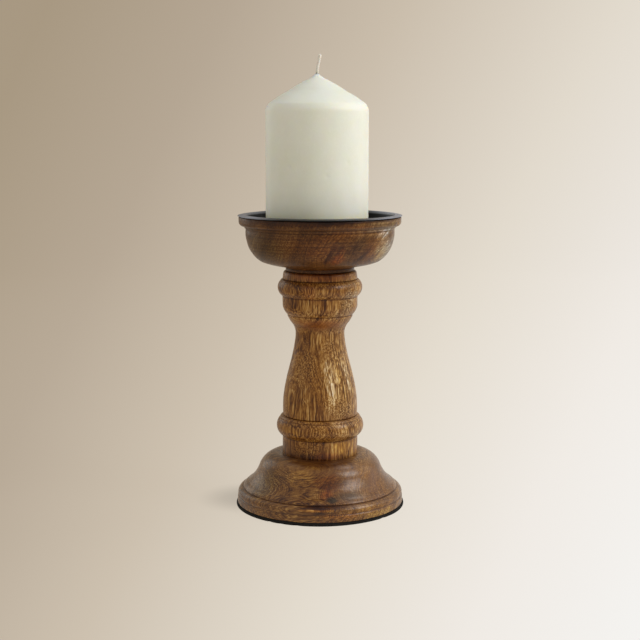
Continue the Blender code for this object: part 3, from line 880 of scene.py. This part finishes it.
def make_bowl():
    low, high = span("bowl")
    screw_bore = 2.4
    dimple = 9.1
    floor = 190.5
    dimple_floor = floor - 3.0
    mortise = 10.3
    mortise_top = 174.8
    rim = high.x
    rim_top = high.z + 1.2
    foot_ring = 161.7
    points = outline([
        (screw_bore, dimple_floor),
        (dimple, dimple_floor),
        (dimple, floor),
        (49.1, floor),
        (50.7, rim_top),
        (rim - 0.5, rim_top),
        (rim, rim_top - 0.5, 0.1),
        (rim, 194.6),
        (52.1, 191.8, 0.7),
        (51.2, 191.7),
        (51.0, 191.1),
        (50.3, 190.1, 0.15),
        (50.0, 190.0),
        (49.4, 181.8, 0.4),
        (39.9, 168.1, 1.8),
        (24.8, 165.0, 0.7),
        (23.2, 163.6, 0.1),
        (23.2, foot_ring),
        (21.4, foot_ring),
        (21.4, low.z),
        (mortise, low.z),
        (mortise, mortise_top),
        (screw_bore, mortise_top),
    ])
    relief = hand_turned(47, dents=20, where=(189.0, high.z), oval=0.15)
    bowl = lathe("turned_bowl", points, bowl_wood(), "holder", 320, relief)
    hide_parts("bowl")


def sheet(points, thickness):
    """Close an open outline into a sheet that lies below it, with a rounded edge."""
    points = np.array(points)
    run = np.gradient(points, axis=0)
    run /= np.hypot(*run.T)[:, None]
    under = points + thickness * np.stack([run[:, 1], -run[:, 0]], axis=1)
    edge = points[-1] + thickness * (0.5 * run[-1] + 0.5 * np.array([run[-1, 1], -run[-1, 0]]))
    return [tuple(p) for p in points] + [tuple(edge)] + [tuple(p) for p in under[::-1]]


def make_drip_pan():
    high = span("drip_pan")[1]
    floor = 191.6
    well = 49.6
    dimple_floor = floor - 3.0
    screw_hole = 2.4
    thickness = 0.5
    crest = high.z
    top = outline([
        (screw_hole, dimple_floor),
        (6.0, dimple_floor),
        (8.0, floor),
        (well - 3.4, floor),
        (well - 1.2, floor + 2.0, -0.6),
        (well, crest - 1.2),
        (51.6, crest, 0.6),
        (high.x, crest - 0.5, 0.12),
    ])
    relief = hand_turned(52, dents=8, where=(196.0, high.z), oval=0.08, ripple=0.02)
    pan = lathe(
        "enamel_drip_pan", sheet(top, thickness), black_enamel(), "holder", 288, relief,
        sanding=0.12,
    )
    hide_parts("drip_pan")


# Fasteners
def make_screw(name, node, seat, direction, length, steel):
    core = 1.6
    head = 4.0
    corners = [
        (0.0, 2.3),
        (2.4, 2.3),
        (head, 0.8, 0.35),
        (head, 0.0),
        (2.1, 0.0),
        (2.1, -4.5),
        (core, -5.5),
        (core, 4.0 - length),
        (0.0, -length),
    ]
    points = [(radius, seat + direction * height) for radius, height in outline(corners)]
    if direction < 0:
        points.reverse()
    relief = screw_relief(seat, direction, length)
    screw = lathe(name, points, steel, "holder", 64, relief, sanding=0.1)
    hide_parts(node)


def make_fasteners():
    steel = zinc_steel("zinc_plated_steel", (0.66, 0.65, 0.62))
    washer_low, washer_high = span("base_washer")
    make_screw("base_wood_screw", "base_screw", washer_low.z - 0.3, -1.0, 34.0, steel)
    make_screw("pan_wood_screw", "pan_screw", 188.9, 1.0, 32.0, steel)
    hole = 2.5
    edge = 0.3
    points = outline([
        (hole, washer_high.z),
        (washer_high.x - edge, washer_high.z),
        (washer_high.x, washer_high.z - edge, 0.08),
        (washer_high.x, washer_low.z),
        (hole, washer_low.z),
    ])
    washer = lathe("base_steel_washer", points, steel, "holder", 96, sanding=0.1)
    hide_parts("base_washer")


# Candle pieces
def candle_axis():
    low, high = span("candle")
    return (low.x + high.x) / 2.0


def make_candle():
    low, high = span("candle")
    radius = (high.x - low.x) / 2.0
    shoulder = 267.9
    wick_bore = 1.15
    tab_recess = 8.3
    collar_recess = 2.2
    recess_top = low.z + 0.8
    points = outline([
        (0.85, high.z + 1.3),
        (1.5, high.z + 0.2, -0.25),
        (5.0, high.z - 2.4, -0.1),
        (19.4, high.z - 10.7, 0.4),
        (31.4, high.z - 18.2, 0.3),
        (33.4, high.z - 20.6, 0.3),
        (radius, shoulder - 0.4, 0.25),
        (radius, low.z + 0.8),
        (radius - 0.8, low.z, 0.2),
        (tab_recess, low.z),
        (tab_recess, recess_top),
        (collar_recess, recess_top),
        (collar_recess, low.z + 5.8),
        (wick_bore, low.z + 6.2),
    ])
    relief = hand_turned(63, dents=12, where=(low.z, 280.0), oval=0.1, ripple=0.03)
    candle = lathe(
        "pillar_candle", points, ivory_wax(), "candle", 224, relief,
        sanding=0.3, centre=candle_axis(),
    )
    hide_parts("candle")


def make_wick_tab():
    low, high = span("wick_tab")
    bore = 1.15
    collar = 1.9
    rim = high.x - candle_axis()
    sheet_top = low.z + 0.5
    points = outline([
        (bore, high.z),
        (collar, high.z),
        (collar, sheet_top + 0.8),
        (collar + 0.8, sheet_top, -0.3),
        (rim - 0.2, sheet_top),
        (rim, low.z + 0.2, 0.08),
        (bore, low.z),
    ])

    def crimped(angle, radius, height):
        pinch = np.exp(-((height - low.z - 3.6) ** 2) / 1.2) * (radius > 1.5)
        return -0.16 * pinch * np.maximum(0.0, np.cos(4.0 * angle))

    steel = zinc_steel("tinned_tab_steel", (0.72, 0.71, 0.68))
    tab = lathe(
        "candle_wick_tab", points, steel, "candle", 96, crimped,
        sanding=0.08, centre=candle_axis(),
    )
    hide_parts("wick_tab")


def strand_radius(angle, twist):
    """Outer edge of three round strands laid together and turned by twist."""
    offset = 0.46
    strand = 0.60
    core = 0.8
    edges = []
    for lobe in range(3):
        bearing = angle - twist - lobe * FULL_TURN / 3.0
        inside = strand**2 - (offset * np.sin(bearing)) ** 2
        edge = offset * np.cos(bearing) + np.sqrt(np.maximum(inside, 0.0))
        edges.append(np.where(inside > 0.0, edge, 0.0))
    return np.maximum.reduce(edges + [np.full_like(angle, core)])


def make_wick():
    low, high = span("wick")
    wax_top = span("candle")[1].z
    sides = 30
    lay = 4.2
    top = high.z + 1.2
    inside_wax = np.linspace(low.z, wax_top - 1.0, 60)
    in_the_open = np.arange(wax_top - 0.8, top - 0.2, 0.22)
    heights = np.concatenate([inside_wax, in_the_open])
    angle = np.arange(sides) * FULL_TURN / sides
    verts = [(candle_axis(), 0.0, low.z)]
    for height in heights:
        rise = max(0.0, (height - wax_top) / (top - wax_top))
        frayed = 1.0 + 0.12 * rise * rise
        rounded = 0.35 * max(0.0, rise - 0.93) / 0.07
        radius = strand_radius(angle, FULL_TURN * height / lay) * (frayed - rounded)
        bow = WICK_LEAN * rise * rise * (3.0 - 2.0 * rise) + 0.08 * math.sin(9.0 * rise)
        middle = candle_axis() + bow
        away = 0.12 * math.sin(5.0 * rise)
        verts.extend(zip(middle + radius * np.cos(angle), away + radius * np.sin(angle), [height] * sides))
    verts.append((candle_axis() + WICK_LEAN + 0.1, 0.12 * math.sin(5.0), top))
    faces = []
    last = len(heights) - 1
    for j in range(sides):
        k = (j + 1) % sides
        faces.append((0, 1 + k, 1 + j))
        faces.append((1 + last * sides + j, 1 + last * sides + k, len(verts) - 1))
        for i in range(last):
            lower = 1 + i * sides
            upper = lower + sides
            faces.append((lower + j, lower + k, upper + k, upper + j))
    wick = new_piece("cotton_wick", verts, faces, waxed_cotton(), "candle")
    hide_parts("wick")


# Studio
def studio_paper():
    """Pale paper with a glow that goes from tan at the camera's upper left to pale at its right.

    The tone follows the line of sight from the camera.  To the sides of its view
    and behind it the paper settles to one plain tone.
    """
    r = Recipe("studio_paper")
    eye = tuple(part / MM for part in CAMERA_PLACE)
    sight = r.vector('NORMALIZE', r.vector('SUBTRACT', r.place, eye))
    slope = r.math('ADD', r.vector('DOT_PRODUCT', sight, (1.46, -0.112, -0.73), out=1), 0.47)
    behind = r.ease(r.split(r.place)[1], -250.0, -750.0)
    beyond = r.ease(r.math('ABSOLUTE', r.split(sight)[0]), 0.27, 0.55)
    plain = r.math('MAXIMUM', behind, beyond)
    slope = r.math('MULTIPLY_ADD', plain, r.math('SUBTRACT', 0.45, slope), slope)
    paper = r.ramp(
        slope,
        (0.00, srgb(166, 150, 127)),
        (0.19, srgb(180, 165, 146)),
        (0.38, srgb(202, 189, 171)),
        (0.62, srgb(227, 219, 206)),
        (0.81, srgb(239, 234, 228)),
        (1.00, srgb(244, 243, 241)),
    )
    glow = r.math('MULTIPLY_ADD', plain, -0.2, 0.945)

    # A faint shade on the floor, to the left of the base
    shade_middle = (-54.0, 10.0, 0.0)
    beside = r.vector('SUBTRACT', r.place, shade_middle)
    beside = r.vector('LENGTH', r.stretched(beside, 1.0 / 30.0, 1.0 / 34.0, 1.0 / 30.0), out=1)
    glow = r.math('MULTIPLY', glow, r.math('MULTIPLY_ADD', r.ease(beside, 1.2, 0.2), -0.24, 1.0))
    r.set(Base_Color=(0.05, 0.048, 0.044, 1.0), Roughness=0.9, Specular_IOR_Level=0.1)
    r.set(Emission_Color=paper, Emission_Strength=glow)
    return r.material


def make_stage():
    """A pale seamless sweep: a round floor that curves up into a wall."""
    floor = 2600.0
    curve = 1200.0
    wall = 2600.0
    ground = -0.05
    steps = 96
    corners = [(0.0, ground), (floor - curve, ground), (floor, curve, -0.29 * curve), (floor, wall)]
    points = [(radius * MM, height * MM) for radius, height in outline(corners)]
    verts = [(0.0, 0.0, points[0][1])]
    for radius, height in points[1:]:
        for j in range(steps):
            angle = FULL_TURN * j / steps
            verts.append((radius * math.cos(angle), radius * math.sin(angle), height))
    faces = [(0, 1 + j, 1 + (j + 1) % steps) for j in range(steps)]
    for i in range(len(points) - 2):
        for j in range(steps):
            k = (j + 1) % steps
            inner = 1 + i * steps
            outer = inner + steps
            faces.append((inner + j, outer + j, outer + k, inner + k))
    mesh = bpy.data.meshes.new("studio_sweep")
    mesh.from_pydata(verts, [], faces)
    mesh.shade_smooth()
    mesh.materials.append(studio_paper())
    sweep_object = bpy.data.objects.new("studio_sweep", mesh)
    bpy.context.scene.collection.objects.link(sweep_object)


def make_light(name, place, target, size, power, tint):
    light = bpy.data.lights.new(name, 'AREA')
    light.shape = 'RECTANGLE'
    light.size, light.size_y = size
    light.energy = power
    light.color = tint
    lamp = bpy.data.objects.new(name, light)
    bpy.context.scene.collection.objects.link(lamp)
    lamp.location = place
    lamp.rotation_euler = (Vector(target) - Vector(place)).to_track_quat('-Z', 'Y').to_euler()


def make_studio():
    middle = (0.0, 0.0, 0.15)
    white = (1.0, 1.0, 1.0)
    make_light("key", (1.02, -0.40, 0.86), middle, (0.6, 0.6), 8.2, white)
    make_light("top_window", (0.65, 0.25, 1.25), middle, (0.35, 0.35), 2.0, white)
    make_light("right_strip", (1.1, 0.45, 0.55), middle, (0.4, 0.9), 1.3, white)
    make_light("left_rim", (-0.9, 0.9, 0.5), middle, (0.6, 0.75), 1.2, (0.9, 1.0, 1.0))
    make_light("left_fill", (-1.3, -0.9, 0.72), middle, (1.8, 1.25), 1.7, (0.91, 1.0, 0.95))
    world = bpy.data.worlds.new("studio_air")
    bpy.context.scene.world = world
    world.use_nodes = True
    air = world.node_tree.nodes["Background"]
    air.inputs["Color"].default_value = (0.92, 0.97, 1.0, 1.0)
    air.inputs["Strength"].default_value = 0.5
    bpy.context.scene.view_settings.view_transform = 'Standard'


def make_camera():
    lens = bpy.data.cameras.new("camera")
    lens.lens = 72.0
    lens.sensor_width = 36.0
    lens.clip_end = 20.0
    camera = bpy.data.objects.new("camera", lens)
    bpy.context.scene.collection.objects.link(camera)
    camera.location = CAMERA_PLACE
    camera.rotation_euler = (math.radians(81.5), 0.0, 0.0)
    bpy.context.scene.camera = camera


make_base_pad()
make_base()
make_stem()
make_bowl()
make_drip_pan()
make_fasteners()
make_candle()
make_wick_tab()
make_wick()
make_stage()
make_studio()
make_camera()
